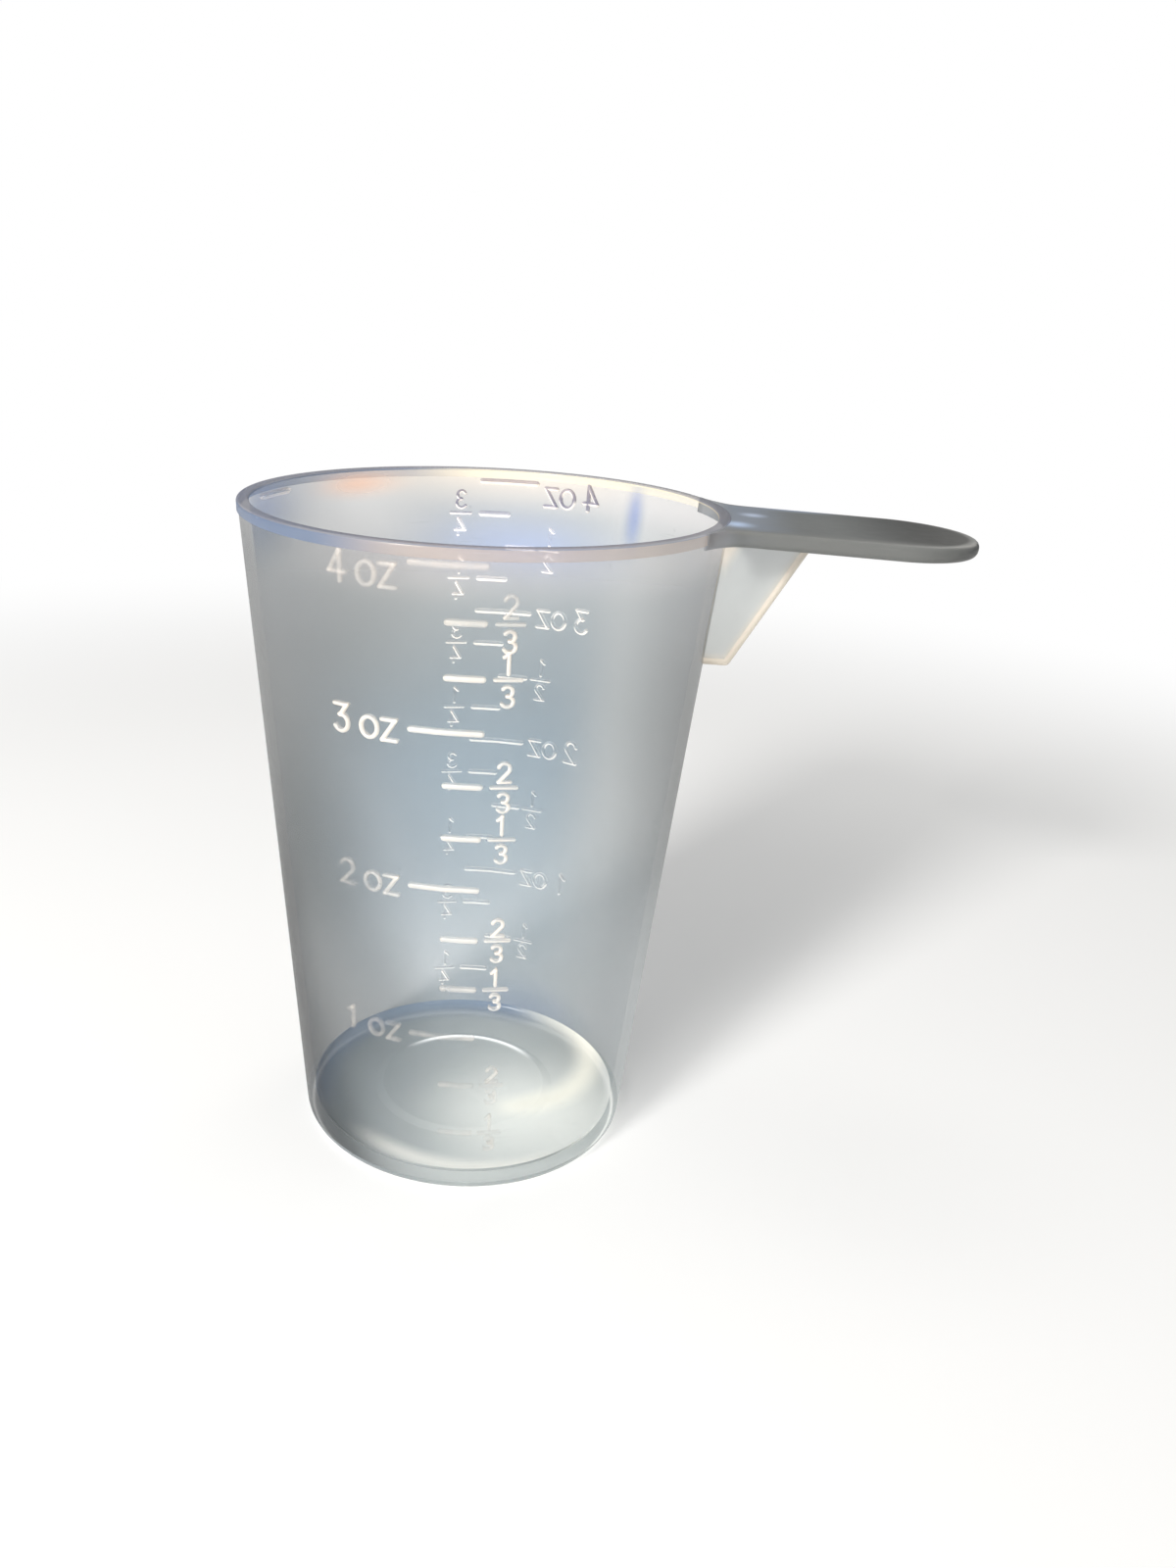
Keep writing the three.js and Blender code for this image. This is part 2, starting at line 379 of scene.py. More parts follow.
cup = {
    "foot": 21.25 * mm,           # outside radius at the bench
    "draft": radians(3.62),
    "wall": 1.2 * mm,
    "floor": 1.8 * mm,
    "heelRound": 1.6 * mm,
    "cornerRound": 1.0 * mm,
    "discRadius": 11.0 * mm,
    "discHeight": 0.35 * mm,
    "discSlope": 1.2 * mm,        # its edge runs out this far
    "discFootRound": 0.9 * mm,
    "discTopRound": 0.4 * mm,
    "discDip": 0.05 * mm,         # its middle lies this far below its edge
    "discDipRun": 0.9 * mm,
    "discDipRound": 0.8 * mm,
    "rimHeight": 1.2 * mm,
    "rimRound": 0.28 * mm,
    "underRim": 0.12 * mm,
    "soleRing": 0.6,              # a ring of points below, in foot radii
    "wallRings": [z * mm for z in range(8, 80, 8)],
    "roundSteps": 6,
    "segments": 192,
    "lipDepth": 0.12 * mm,        # the rest says where its finishes meet
    "baseHeight": 1.0 * mm,       # above the floor
    "soleHeight": 0.5 * mm,
    "insideFrom": 0.7,            # in wall thicknesses
}
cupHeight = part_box("rim_bead")[1][2]
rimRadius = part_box("rim_bead")[1][1]


def wallOutside(height):
    return cup["foot"] + height * tan(cup["draft"])


def wallInside(height):
    return wallOutside(height) - cup["wall"] / cos(cup["draft"])


rimBase = cupHeight - cup["rimHeight"]
floorTop = cup["floor"]
discTop = floorTop + cup["discHeight"]
discMiddle = discTop - cup["discDip"]
profile = [
    (0, 0, 0),
    (cup["foot"] * cup["soleRing"], 0, 0),
    (wallOutside(0), 0, cup["heelRound"]),
]
profile += [(wallOutside(z), z, 0) for z in cup["wallRings"][:-1]]
profile += [
    (wallOutside(rimBase), rimBase, 0),
    (rimRadius, rimBase + cup["underRim"], 0),
    (rimRadius, cupHeight, cup["rimRound"]),
    (wallInside(cupHeight), cupHeight, cup["rimRound"]),
]
profile += [(wallInside(z), z, 0) for z in reversed(cup["wallRings"])]
profile += [
    (wallInside(floorTop), floorTop, cup["cornerRound"]),
    (cup["discRadius"] + cup["discSlope"], floorTop, cup["discFootRound"]),
    (cup["discRadius"], discTop, cup["discTopRound"]),
    (cup["discRadius"] - cup["discDipRun"], discMiddle, cup["discDipRound"]),
    (0, discMiddle, 0),
]
wallLook = {
    "shade": colour(0.10, 0.20, 0.28),
    "tint": colour(0.155, 0.265, 0.35),
    "cloudScale": 60.0,
    "alpha": 0.44,
    "alphaClouds": 0.05,
    "fades": [
        # painted light: paler towards the right, where less light falls
        fade("side", 9 * mm, 17 * mm, colour(0.29, 0.335, 0.345), colour(0.35, 0.39, 0.40), 0.37),
        fade("height", 55 * mm, 74 * mm, colour(0.20, 0.225, 0.215), colour(0.25, 0.27, 0.26), 0.40),
        # painted shade: darker along the right edge
        fade("side", 15 * mm, 25 * mm, colour(0.105, 0.115, 0.115), colour(0.13, 0.14, 0.14), 0.52),
        # painted light: paler low down, against the cup's shadow seen through the walls
        fade("height", 50 * mm, 12 * mm, colour(0.54, 0.59, 0.61), colour(0.61, 0.66, 0.67), 0.19),
        # painted highlight: a warm band under the rim that runs into the rim's painted highlight
        fade("height", 71.5 * mm, 76.3 * mm, colour(0.50, 0.45, 0.42), colour(0.58, 0.51, 0.46), 0.36),
        # painted shade: darker on the left side
        fade("side", 2 * mm, -20 * mm, colour(0.075, 0.082, 0.084), colour(0.10, 0.108, 0.11), 0.48),
        # painted shade: darkest low on the left
        fade("slant", -1 * mm, -13 * mm, colour(0.017, 0.021, 0.024), colour(0.03, 0.035, 0.038), 0.83),
    ],
    "paintedLights": [],
    "grazing": 0.14,
    "shadow": 0.26,
    "lowShadow": 0.88,       # near the bench, at the back
    "roughness": 0.21,
    "gloss": 0.5,
    "scuffs": 0.16,
    "scuffColour": colour(0.55, 0.57, 0.58),
    "specks": 0.4,
    "speckColour": colour(0.20, 0.21, 0.21),
    "bump": 0.012,
    "glow": 0.4,
}
insideLook = dict(
    wallLook,
    alpha=0.06,
    alphaClouds=0.03,
    fades=[],
    paintedLights=[
        # painted light: a pale glow low on the far side, against the cup's shadow behind it
        swirl((5, 22, 22), 0, 27, colour(0.56, 0.63, 0.66), 0.32, 0.16),
        # painted reflection: a bluish patch high on the far side
        swirl((2, 25, 68.5), 0, 7.5, colour(0.22, 0.37, 0.80), 0.34, 0.15, stretch=(0.28, 0.5, 1)),
        # painted highlight: a white glowing spot high on the left
        swirl((-17, 17, 73), 0, 8, colour(0.97, 0.96, 0.95), 0.18, 0.6, stretch=(0.6, 0.6, 1)),
        # painted highlight: a glowing cream band just under the far rim
        swirl((-3, 24, 78), 0, 6.5, colour(1.0, 0.80, 0.54), 0.26, 0.9, stretch=(0.16, 0.36, 1.15)),
        # painted shadow: dark blue low on the far side
        swirl((6, 20, 3), 0, 8, colour(0.13, 0.22, 0.40), 0.42, stretch=(0.45, 0.45, 1.2)),
        # painted highlight: a glowing orange streak under the rim on the left
        swirl((-18, 17, 76), 0, 2.5, colour(0.95, 0.50, 0.28), 0.30, 0.9, stretch=(0.25, 0.25, 1)),
        # painted reflection: a deep blue streak high on the right
        swirl((16.1, 18.9, 73.8), 0, 2.3, colour(0.05, 0.16, 0.52), 0.48, 0.08, stretch=(1, 1, 0.35)),
        # painted reflection: a blue patch high on the left
        swirl((-25, 1, 75), 0, 8.0, colour(0.07, 0.17, 0.42), 0.5, 0.1, stretch=(1, 0.45, 1)),
    ],
    grazing=0.0,
    gloss=0.1,
    shadow=0.06,
    lowShadow=0.06,
    specks=0.15,
)
# painted highlight: the rim is cream all round
rimLook = dict(
    wallLook,
    shade=colour(0.92, 0.80, 0.62),
    tint=colour(0.98, 0.88, 0.58),
    cloudScale=45.0,
    alpha=0.42,
    fades=[
        # painted shade: dimmer and pinker at the front
        fade("depth", 8 * mm, -8 * mm, colour(0.52, 0.43, 0.37), colour(0.60, 0.475, 0.40), 0.62),
        # painted reflection: bluish and darker on the left
        fade("side", -1 * mm, -14 * mm, colour(0.14, 0.185, 0.28), colour(0.19, 0.245, 0.36), 0.68),
    ],
    grazing=0.1,
    scuffs=0.05,
    specks=0.0,
)
lipLook = dict(
    rimLook,
    shade=colour(0.22, 0.23, 0.29),
    tint=colour(0.33, 0.32, 0.37),
    alpha=0.66,
    fades=[],
)
# paler than the wall, partly as the thick floor is milkier and partly as painted light
baseLook = dict(
    wallLook,
    shade=colour(0.88, 0.91, 0.90),
    tint=colour(0.97, 0.98, 0.94),
    cloudScale=45.0,
    alpha=0.62,
    fades=[
        # painted shade: darker on the left
        fade("side", 8 * mm, -20 * mm, colour(0.29, 0.34, 0.37), colour(0.36, 0.40, 0.42), 0.57),
    ],
    paintedLights=[
        # painted light: a large glowing pool of light on the floor
        swirl((10, -5, 1.8), 0, 18, colour(0.97, 0.97, 0.92), 0.8, 0.62),
        # painted shadow: a dark blue crescent along the back left edge
        swirl((0, 0, 1.8), 20.5, 5.0, colour(0.13, 0.22, 0.40), 0.8, 0, "back left", 4 * mm, 15 * mm),
        # painted caustic: a glowing cream arc on the right
        swirl((3.2, 8, 1.8), 13.6, 3.4, colour(1.0, 0.97, 0.86), 0.9, 0.6, "side", 3 * mm, 9 * mm),
        # painted highlight: a glowing band along the front edge
        swirl((2, 0, 1.8), 18.6, 2.6, colour(0.98, 0.95, 0.88), 0.8, 0.5, "depth", -11 * mm, -17 * mm),
        # painted shade: a darker ring in the front corner
        swirl((0, 0, 1.8), 20.2, 1.3, colour(0.40, 0.43, 0.43), 0.8, 0, "depth", -8 * mm, -16 * mm),
        # painted highlight: a glowing white arc on the far edge of the disc
        swirl((0, 0, 2.1), 11.0, 0.75, colour(1.0, 1.0, 1.0), 1.0, 1.5, "depth", 6 * mm, 10 * mm),
    ],
    grazing=0.1,
    scuffs=0.08,
    specks=0.8,
    lowShadow=0.7,
)
heelLook = dict(
    baseLook,
    shade=colour(0.36, 0.40, 0.41),
    tint=colour(0.44, 0.48, 0.48),
    alpha=0.7,
    fades=[
        # painted shade: darker on the left
        fade("side", 4 * mm, -18 * mm, colour(0.17, 0.20, 0.22), colour(0.22, 0.25, 0.27), 0.72),
    ],
    # painted highlight: a bright glowing line along the bottom edge
    paintedLights=[swirl((0, 0, 0), 20.6, 0.35, colour(0.95, 0.96, 0.95), 0.8, 0.2)],
    specks=0.3,
    lowShadow=0.9,
)
cupLooks = {
    "milky wall": wallLook,
    "inside of the wall": insideLook,
    "rim": rimLook,
    "base": baseLook,
    "lip": lipLook,
    "heel": heelLook,
}


def cupBand(radius, height):  # which finish a place on the profile has
    inside = radius < wallOutside(height) - cup["wall"] * cup["insideFrom"] and height > cup["soleHeight"]
    if height > cupHeight - cup["lipDepth"]:
        band = "lip"
    elif height > rimBase:
        band = "rim"
    elif height < floorTop + cup["baseHeight"]:
        band = "base" if inside else "heel"
    else:
        band = "inside of the wall" if inside else "milky wall"
    return list(cupLooks).index(band)


cupFinishes = [mouldedFinish(name, look) for name, look in cupLooks.items()]
bm = bmesh.new()
lathe(bm, rounded(profile, cup["roundSteps"]), cup["segments"], cupBand)
shell = finishPiece("cup_shell", bm, cupFinishes, ["cup_body", "rim_bead"])
crisp(shell)
print("cup turned")


# Handle: flat tab with a round end, its sides run into the rim

handle = {
    "reach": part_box("handle")[1][0] - 0.01 * mm,  # just inside the solid
    "width": 17.5 * mm,
    "thickness": 1.55 * mm,
    "setDown": 0.1 * mm,
    "droop": radians(1.5),
    "edgeRound": 0.68 * mm,
    "band": 3.2 * mm,            # width of the painted paler edge
    "rootRound": 5.7 * mm,
    "bury": 0.1 * mm,            # how far its root lies inside the wall
    "tipSteps": 48,
    "rootSteps": 16,
    "edgeSteps": 6,
}


def handleOutline():
    half = handle["width"] / 2
    rootY = half + handle["rootRound"]
    rootX = sqrt((rimRadius + handle["rootRound"]) ** 2 - rootY ** 2)
    root = Vector((rootX, rootY))
    rootAngle = atan2(rootY, rootX)
    tip = rimRadius + (handle["reach"] - rimRadius) / cos(handle["droop"]) - half
    steps = handle["rootSteps"]
    points = []
    for k in range(handle["tipSteps"] + 1):
        a = -pi / 2 + pi * k / handle["tipSteps"]
        points.append(Vector((tip + half * cos(a), half * sin(a))))
    upper = []
    for k in range(steps + 1):
        a = -pi / 2 - (pi / 2 - rootAngle) * k / steps
        upper.append(root + Vector((cos(a), sin(a))) * handle["rootRound"])
    wallEdge = wallOutside(rimBase)
    buried = wallEdge - handle["bury"]
    lower = [Vector((p.x, -p.y)) for p in reversed(upper)]
    inner = []
    for k in range(steps + 1):
        a = rootAngle - 2 * rootAngle * k / steps
        inner.append(Vector((buried * cos(a), buried * sin(a))))
    easing = []  # the round edge dies out at the rim, short of the buried end
    for point in upper:
        toward = -(point - root).normalized().dot(root)
        beyond = max(toward ** 2 - rootX ** 2 - rootY ** 2 + wallEdge ** 2, 0)
        room = toward - sqrt(beyond) - handle["rootRound"]
        easing.append(min(room / handle["band"], 1.0))
    shares = [1.0] * len(points) + easing + [0.0] * len(inner) + list(reversed(easing))
    return points + upper + inner + lower, shares


def onHandle(x, y, z):
    out = x - rimRadius
    middle = cupHeight - handle["setDown"] - handle["thickness"] / 2
    return Vector((rimRadius + out * cos(handle["droop"]) + z * sin(handle["droop"]), y,
                   middle + z * cos(handle["droop"]) - out * sin(handle["droop"])))


# painted light: the tone of the handle's paler edge
litEdgeTone = colour(0.275, 0.28, 0.272)
sideTone = colour(0.185, 0.19, 0.184)
tabTop = (76.9 * mm, 77.2 * mm)
handleLook = dict(
    wallLook,
    shade=colour(0.185, 0.194, 0.192),
    tint=colour(0.23, 0.238, 0.236),
    cloudScale=40.0,
    alpha=0.97,
    alphaClouds=0.0,
    fades=[
        # painted shade: darker towards the tip
        fade("side", 36 * mm, 47 * mm, colour(0.03, 0.033, 0.032), colour(0.042, 0.045, 0.044), 0.97),
        # painted highlight: bluish and paler at the root
        fade("side", 34 * mm, 27 * mm, colour(0.27, 0.31, 0.38), colour(0.36, 0.40, 0.47), 0.9, 6 * mm),
        # painted light: the nearer part and the rounded edge paler
        fade("depth", -5.2 * mm, -9.3 * mm, litEdgeTone, litEdgeTone, 0.95),
        fade("edge", 0.55, 0.8, litEdgeTone, litEdgeTone, 0.95),
        fade("edge", 0.8, 1.0, sideTone, sideTone, 0.95),
        # painted reflection: bluish grey where the tab runs into the rim
        fade("side", 27.0 * mm, 24.2 * mm, colour(0.33, 0.35, 0.38), colour(0.40, 0.41, 0.43), 0.7),
    ],
    paintedLights=[
        # painted highlights: bluish glints on the top near the root
        swirl((26.4, -4.4, 77.4), 0, 2.6, colour(0.62, 0.76, 1.0), 0.95, 0.12, "height", *tabTop),
        swirl((28.6, 2.2, 77.4), 0, 2.0, colour(0.58, 0.66, 0.82), 0.95, 0.1, "height", *tabTop),
        swirl((33.4, 9.2, 77.2), 0, 3.2, colour(0.50, 0.60, 0.80), 0.95, 0.06, stretch=(0.45, 1, 1)),
    ],
    grazing=0.02,
    gloss=0.2,
    shadow=0.7,
    lowShadow=0.7,
    roughness=0.34,
    scuffs=0.12,
    specks=0.1,
    bump=0.002,
    glow=0.2,
)
bm = bmesh.new()
outline, shares = handleOutline()
plate(bm, lambda d: inset(outline, d, shares), handle, onHandle)
tab = finishPiece("handle_tab", bm, [mouldedFinish("handle plastic", handleLook)], ["handle"])
crisp(tab)
print("handle made")


# Gusset: web under the handle

gusset = {
    "reach": 9.9 * mm,
    "drop": 15.7 * mm,
    "foot": 2.8 * mm,
    "thickness": 1.8 * mm,
    "edgeRound": 0.6 * mm,
    "band": 1.5 * mm,            # width of the painted creamy edge highlight
    "bury": 0.06 * mm,           # into the wall
    "sink": 0.4 * mm,            # into the handle
    "lap": 1.5 * mm,             # its top runs on past the fillet
    "cornerRound": 0.6 * mm,
    "leastRound": 0.02 * mm,
    "handleFillet": 0.8 * mm,
    "roundSteps": 6,
    "edgeSteps": 6,
}


def gussetOutline(distance):  # its free edges moved in by a distance
    bottom = cupHeight - gusset["drop"]
    handleTop = cupHeight - handle["setDown"]
    top = handleTop - handle["thickness"] / 2
    outer = wallOutside(top) + gusset["reach"]
    under = handleTop - handle["thickness"] - (outer - rimRadius) * tan(handle["droop"])
    foot = Vector((wallOutside(bottom) + gusset["foot"], bottom))
    slope = (Vector((outer, top)) - foot).normalized()
    free = foot + Vector((-slope.y, slope.x)) * distance
    heel = free + slope * (bottom + distance - free.y) / slope.y
    meet = free + slope * (under - free.y) / slope.y  # slope under the handle
    sunk = under + gusset["sink"]
    lapped = meet.x + gusset["lap"]
    corners = [
        (wallOutside(bottom) - gusset["bury"], bottom + distance, 0),
        (heel.x, heel.y, max(gusset["cornerRound"] - distance, gusset["leastRound"])),
        (meet.x, meet.y, gusset["handleFillet"]),
        (lapped, under, 0),
        (lapped, sunk, 0),
        (wallOutside(under) - gusset["bury"], sunk, 0),
    ]
    return rounded(corners, gusset["roundSteps"])


# painted highlight: a cream edge along the rounded edges
creamEdgeHighlight = colour(0.87, 0.79, 0.68)
# painted light: paler than the wall, as if lit through from behind
gussetLook = dict(
    wallLook,
    shade=colour(0.52, 0.55, 0.55),
    tint=colour(0.59, 0.61, 0.60),
    alpha=0.53,
    fades=[fade("edge", 0.36, 0.5, creamEdgeHighlight, creamEdgeHighlight, 0.75)],
    grazing=0.05,
    scuffs=0.08,
    specks=0.1,
)
bm = bmesh.new()
plate(bm, gussetOutline, gusset, lambda x, y, z: Vector((x, -z, y)))
web = finishPiece("gusset_web", bm, [mouldedFinish("gusset plastic", gussetLook)], ["handle_gusset"])
crisp(web)
print("gusset made")


# Marks: raised strokes that follow the wall, rooted in it

mark = {
    "lineWidth": 0.7 * mm,
    "lineRelief": 0.3 * mm,
    "root": 0.35 * mm,            # depth of a stroke inside the wall
    "rootLift": 0.6,              # its deepest edge lies higher, in half widths
    "endTurns": [80, 60, 40, 20],  # degrees, steps of its round ends
    "textStroke": 0.5 * mm,
    "textRelief": 0.26 * mm,
    "textHalf": 3.55 * mm,        # from the words' middle to their left
    "textDrop": 0.1 * mm,
    "topDrop": 1.1 * mm,          # of the words beside the top line
    "digitHeight": 2.8 * mm,
    "ounceHeight": 2.1 * mm,
    "ouncePlaces": {"o": 3.2 * mm, "z": 5.5 * mm},  # from the digit's left
    "fractionHeight": 2.0 * mm,
    "fractionStroke": 0.4 * mm,
    "fractionGap": 0.62 * mm,     # above and below the bar
    "fractionHalf": 0.33,         # half a digit's width, in its heights
    "barLength": 2.5 * mm,
    "fullHalf": 2.75 * mm,
    "fullAzimuth": radians(165),
    "wornScale": 700.0,
    "wornLevels": (0.35, 0.7),
    "wornCover": 0.08,
    "wornRoughness": 0.15,
    "roughness": 0.3,
    "bump": 0.2,
    "bumpDepth": 0.08 * mm,
    "glow": 0.3,
    "passed": 0.94,               # light that comes through in the shadow
    "topHeights": (70 * mm, 74 * mm),  # where the top marks take a painted shade outline and lose shine
    "topShine": 0.35,
    "topFades": (68 * mm, 73 * mm),
    "shadeOutlineCover": 0.6,
    # flank colours: pale and bright are painted light, plain is the neutral flank, dark and the last are
    # painted shade
    "pale": colour(0.92, 0.84, 0.76),
    "bright": colour(0.97, 0.92, 0.86),
    "plain": colour(0.66, 0.65, 0.66),
    "dark": colour(0.27, 0.29, 0.36),
    "shadeOutline": colour(0.22, 0.21, 0.30),
}


def arc(x, y, across, up, start, end, steps=14):
    angles = [radians(start + (end - start) * k / steps) for k in range(steps + 1)]
    return [(x + across * cos(a), y + up * sin(a)) for a in angles]


strokes = {  # in heights of the letter, from its lower left
    "1": [[(0.10, 0.80), (0.32, 1.0)], [(0.32, 1.0), (0.32, 0.0)]],
    "2": [arc(0.32, 0.72, 0.28, 0.28, 165, -35) + [(0.05, 0.0)], [(0.05, 0.0), (0.62, 0.0)]],
    "3": [arc(0.31, 0.76, 0.25, 0.24, 150, -90), arc(0.31, 0.26, 0.29, 0.26, 90, -150)],
    "flat 3": [[(0.05, 1.0), (0.56, 1.0)], [(0.56, 1.0), (0.28, 0.6)],
               arc(0.30, 0.31, 0.30, 0.31, 100, -150)],
    "4": [[(0.47, 1.0), (0.03, 0.30)], [(0.03, 0.30), (0.66, 0.30)], [(0.47, 1.0), (0.47, 0.0)]],
    "o": [arc(0.45, 0.5, 0.43, 0.5, 90, 450, 28)],
    "z": [[(0.05, 1.0), (0.72, 1.0)], [(0.72, 1.0), (0.05, 0.0)], [(0.05, 0.0), (0.75, 0.0)]],
}
section = [  # across in half widths, out in reliefs above the wall and roots below
    (-1.0, 0.0), (-0.88, 0.5), (-0.55, 0.86), (0.0, 1.0), (0.55, 0.86), (0.88, 0.5),
    (1.0, 0.0), (0.95, -0.3), (0.0, -1.0), (-0.95, -0.3),
]


def onWall(azimuth, along, height, out):  # along the wall to the right, as read from outside
    angle = azimuth + along / wallOutside(height)
    radius = wallOutside(height) + out * cos(cup["draft"])
    return Vector((radius * cos(angle), radius * sin(angle), height - out * sin(cup["draft"])))


def stroke(bm, path, width, relief, azimuth, level):
    points = [Vector(p) for p in path]
    closed = (points[0] - points[-1]).length < tiny
    half = width / 2
    stations = []
    if closed:
        points.pop()
    count = len(points)
    for i, point in enumerate(points):
        before = points[i - 1] if closed or i > 0 else point
        after = points[(i + 1) % count] if closed or i < count - 1 else point
        stations.append((point, (after - before).normalized(), 1.0))
    if not closed:
        turns = [radians(a) for a in mark["endTurns"]]
        first, last = stations[0], stations[-1]
        stations = [(first[0] - first[1] * half * sin(a), first[1], cos(a)) for a in turns] + stations
        stations += [(last[0] + last[1] * half * sin(a), last[1], cos(a)) for a in reversed(turns)]
    rings = []
    for point, heading, size in stations:
        side = Vector((-heading.y, heading.x)) * half * size
        ring = []
        for across, out in section:
            at = point + side * across
            if out == -1.0:
                at.y += half * size * mark["rootLift"]
            lift = out * relief * sqrt(size) if out > 0 else out * mark["root"]
            ring.append(bm.verts.new(onWall(azimuth, at.x, level + at.y, lift)))
        rings.append(ring)
    pairs = list(zip(rings, rings[1:])) + ([(rings[-1], rings[0])] if closed else [])
    for low, high in pairs:
        for k in range(len(section)):
            n = (k + 1) % len(section)
            bm.faces.new((low[k], low[n], high[n], high[k]))
    if not closed:
        bm.faces.new(rings[0])
        bm.faces.new(list(reversed(rings[-1])))


def letter(bm, sign, left, bottom, height, width, relief, azimuth, level):
    for path in strokes[sign]:
        placed = [(left + x * height, bottom + y * height) for x, y in path]
        stroke(bm, placed, width, relief, azimuth, level)


def line(bm, left, end, azimuth, level):
    path = [(left, 0), ((left + end) / 2, 0), (end, 0)]
    stroke(bm, path, mark["lineWidth"], mark["lineRelief"], azimuth, level)


def ounces(bm, digit, middle, drop, azimuth, level):  # such as 3 oz
    left = middle - mark["textHalf"]
    low = -mark["digitHeight"] / 2 - drop
    common = (mark["textStroke"], mark["textRelief"], azimuth, level)
    letter(bm, digit, left, low, mark["digitHeight"], *common)
    for sign, place in mark["ouncePlaces"].items():
        letter(bm, sign, left + place, low, mark["ounceHeight"], *common)


def fraction(bm, upper, lower, middle, azimuth, level):
    tall = mark["fractionHeight"]
    left = middle - mark["fractionHalf"] * tall
    common = (mark["fractionStroke"], mark["textRelief"], azimuth, level)
    letter(bm, upper, left, mark["fractionGap"], tall, *common)
    letter(bm, lower, left, -mark["fractionGap"] - tall, tall, *common)
    half = mark["barLength"] / 2
    stroke(bm, [(middle - half, 0), (middle + half, 0)], *common)


def markFinish(name, look):  # painted lit and shaded sides, by how far each faces up: bright and glowing below, dark on the upper side
    f = Finish(bpy.data.materials.new(name))
    where = f.place()
    worn = f.ramp(f.noise(where, mark["wornScale"], rough=0.6), *mark["wornLevels"])
    rise = f.along(f.node("ShaderNodeNewGeometry", {}, {}, "Normal"), "Z")
    lit = f.ramp(rise, look["litFrom"], look["litAt"])
    dark = f.ramp(rise, look["darkFrom"], look["darkAt"])
    pale = f.mix(worn, mark["pale"], mark["bright"])
    body = f.mix(dark, f.mix(lit, mark["plain"], pale), mark["dark"])
    height = f.along(where, "Z")
    # painted glow on the lit flanks, weaker on the top marks
    shine = f.mix(lit * f.ramp(height, *mark["topHeights"], 1.0, mark["topShine"]), grey(0), pale)
    reach = height + f.along(where, "X") * look["lean"]
    cover = f.ramp(reach, look["faintAt"], look["fullAt"], look["faint"], look["cover"])
    cover = cover * f.ramp(height, *mark["topFades"], 1.0, look["topCover"])
    shadeOutline = f.ramp(height, *mark["topHeights"]) * (1 - lit) * look["topShadeOutline"]  # painted shade: the top marks show as dark outlines
    body = f.mix(shadeOutline, body, mark["shadeOutline"])
    alpha = look["plainCover"] + lit * cover + dark * look["darkCover"]
    alpha = alpha + shadeOutline * mark["shadeOutlineCover"] - worn * mark["wornCover"]
    roughness = mark["roughness"] + worn * mark["wornRoughness"]
    bump = f.node("ShaderNodeBump", {}, {
        "Strength": mark["bump"], "Distance": mark["bumpDepth"], "Height": worn})
    plastic = f.node("ShaderNodeBsdfPrincipled", {}, {
        "Base Color": body, "Alpha": alpha, "Roughness": roughness, "IOR": grit["ior"], "Normal": bump,
        "Emission Color": shine, "Emission Strength": look["shine"]})
    glowing = f.shaders(lit, f.glow(mark["plain"]), f.glow(between(mark["pale"], mark["bright"])))
    glowing = f.shaders(dark, glowing, f.glow(mark["dark"]))
    glowing = f.shaders(shadeOutline, glowing, f.glow(mark["shadeOutline"]))
    milky = f.shaders(mark["glow"], plastic, f.shaders(alpha, f.clear(), glowing))
    return f.show(f.shadowed(milky, f.clear(mark["passed"])))


# each scale's painted light: which flanks are painted lit and shaded, their cover and the strength of
# their painted glow (shine)
scales = {
    "quarter": {
        "azimuth": radians(90), "parts": 4, "text": -8.2 * mm,
        "fractions": {1: ("1", "4", 6.1 * mm), 2: ("1", "2", -5.6 * mm), 3: ("3", "4", 6.1 * mm)},
        "litFrom": 0.1, "litAt": -0.25, "darkFrom": 0.4, "darkAt": 0.75,
        "cover": 0.8, "faint": 0.7, "faintAt": 5 * mm, "fullAt": 20 * mm, "lean": 0.0, "shine": 1.5,
        "darkCover": 0.15, "topShadeOutline": 1.0, "topCover": 1.0, "plainCover": 0.24,
    },
    "third": {
        "azimuth": radians(-90), "parts": 3, "text": -8.5 * mm,
        "fractions": {1: ("1", "3", 5.9 * mm), 2: ("2", "3", 5.9 * mm)},
        "litFrom": 1.0, "litAt": 0.3, "darkFrom": 0.9, "darkAt": 1.0,
        "cover": 0.62, "faint": 0.1, "faintAt": 22 * mm, "fullAt": 46 * mm, "lean": 1.6, "shine": 0.06,
        "darkCover": 0.0, "topShadeOutline": 0.0, "topCover": 0.3, "plainCover": 0.07,
    },
}
topOunce = 4
lineEnds = {  # left and right
    "whole": (-3.45 * mm, 3.45 * mm),
    "right": (0.05 * mm, 3.45 * mm),
    "left": (-3.45 * mm, -0.05 * mm),
}


def levelOf(node):  # height of a line's middle
    low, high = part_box(node)
    return (low[2] + high[2]) / 2


for scaleName, scale in scales.items():
    raised = markFinish(f"raised {scaleName} marks", scale)
    azimuth = scale["azimuth"]
    for step in range(1, topOunce * scale["parts"] + 1):
        whole, part = divmod(step, scale["parts"])
        node = f"{scaleName}_line_{whole}_{part}"
        level = levelOf(node)
        bm = bmesh.new()
        if part == 0:
            line(bm, *lineEnds["whole"], azimuth, level)
            digit = "flat 3" if whole == 3 else str(whole)
            drop = mark["topDrop"] if whole == topOunce else mark["textDrop"]
            ounces(bm, digit, scale["text"], drop, azimuth, level)
        else:
            upper, lower, middle = scale["fractions"][part]
            line(bm, *lineEnds["right" if middle > 0 else "left"], azimuth, level)
            fraction(bm, upper, lower, middle, azimuth, level)
        finishPiece(f"{scaleName}_mark_{whole}_{part}", bm, [raised], [node])
raised = markFinish("raised full mark", dict(scales["quarter"], topShadeOutline=0.0))
bm = bmesh.new()
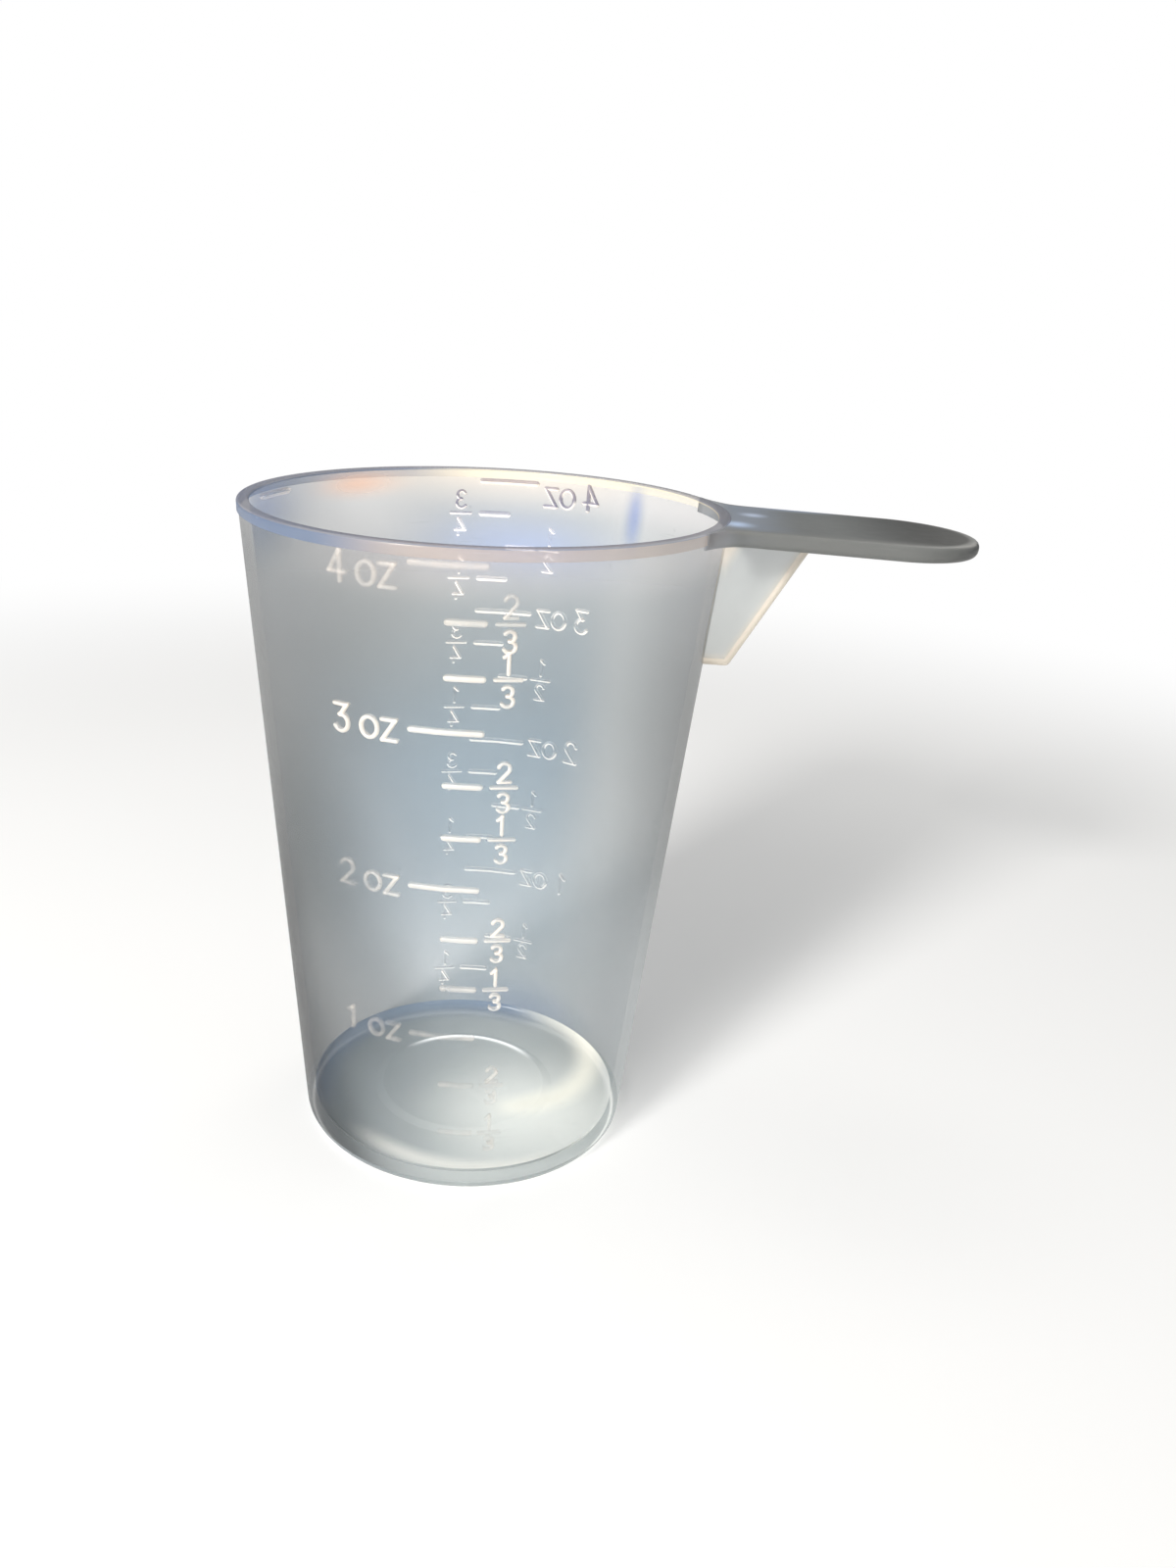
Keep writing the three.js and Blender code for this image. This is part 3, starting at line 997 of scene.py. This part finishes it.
line(bm, -mark["fullHalf"], mark["fullHalf"], mark["fullAzimuth"], levelOf("full_line"))
finishPiece("full_mark", bm, [raised], ["full_line"])
print("marks raised")


# Stage: pale floor, soft light, white surround

stage = {
    "size": 6.0,
    "drop": 0.05 * mm,
    "grid": 8,
    "floor": 0.9,
    "toneScale": 9.0,
    "toneRise": 1.02,
    "lift": 0.05,             # adds to what the camera sees of the floor, up to white
    "plainFrom": 0.16,        # further out the floor is plain white
    "plainAt": 0.34,
    "sky": colour(0.93, 0.97, 1.0),
    "skyStrength": 0.25,
}


def floorFinish():
    f = Finish(bpy.data.materials.new("pale floor"))
    where = f.place()
    tone = f.noise(where, stage["toneScale"], detail=2.0)
    pale = f.mix(tone, grey(stage["floor"]), grey(stage["floor"] * stage["toneRise"]))
    lit = f.node("ShaderNodeBsdfPrincipled", {}, {
        "Base Color": pale, "Roughness": 1.0, "Specular IOR Level": 0.0})
    lift = f.node("ShaderNodeEmission", {}, {"Color": grey(1), "Strength": stage["lift"]})
    near = f.node("ShaderNodeAddShader", {}, {0: lit, 1: lift})
    far = f.node("ShaderNodeEmission", {}, {"Color": grey(1), "Strength": 1.0})
    seen = f.shaders(f.ramp(f.length(where), stage["plainFrom"], stage["plainAt"]), near, far)
    cameraRay = f.node("ShaderNodeLightPath", {}, {}, "Is Camera Ray")
    return f.show(f.shaders(cameraRay, lit, seen))


bm = bmesh.new()
bmesh.ops.create_grid(bm, x_segments=stage["grid"], y_segments=stage["grid"], size=stage["size"])
mesh = bpy.data.meshes.new("floor")
bm.to_mesh(mesh)
bm.free()
mesh.materials.append(floorFinish())
floor = bpy.data.objects.new("floor", mesh)
floor.location = (0, 0, -stage["drop"])
bpy.context.scene.collection.objects.link(floor)

world = bpy.data.worlds.new("studio")
bpy.context.scene.world = world
f = Finish(world)
cameraRay = f.node("ShaderNodeLightPath", {}, {}, "Is Camera Ray")
through = f.node("ShaderNodeLightPath", {}, {}, "Is Transmission Ray")
sky = f.node("ShaderNodeBackground", {}, {"Color": stage["sky"], "Strength": stage["skyStrength"]})
white = f.node("ShaderNodeBackground", {}, {"Color": grey(1), "Strength": 1.0})
f.show(f.shaders(cameraRay + through, sky, white), "ShaderNodeOutputWorld")

lamps = {
    "key": {"from": (-0.42, -0.72, 0.45), "size": 0.2, "power": 12.0, "colour": (1.0, 0.98, 0.95)},
    "top": {"from": (-0.15, 0.1, 0.85), "size": 0.4, "power": 0.9, "colour": (1.0, 0.98, 0.95)},
    "back": {"from": (0.35, 0.6, 0.4), "size": 0.4, "power": 0.8, "colour": (1.0, 0.95, 0.88)},
}
lampAim = Vector((0, 0, 40 * mm))
for name, lamp in lamps.items():
    data = bpy.data.lights.new(name, "AREA")
    data.shape = "DISK"
    data.size = lamp["size"]
    data.energy = lamp["power"]
    data.color = lamp["colour"]
    made = bpy.data.objects.new(name, data)
    made.location = lamp["from"]
    heading = lampAim - Vector(lamp["from"])
    made.rotation_euler = heading.to_track_quat("-Z", "Y").to_euler()
    bpy.context.scene.collection.objects.link(made)
bpy.context.scene.view_settings.view_transform = "Standard"
print("stage lit")
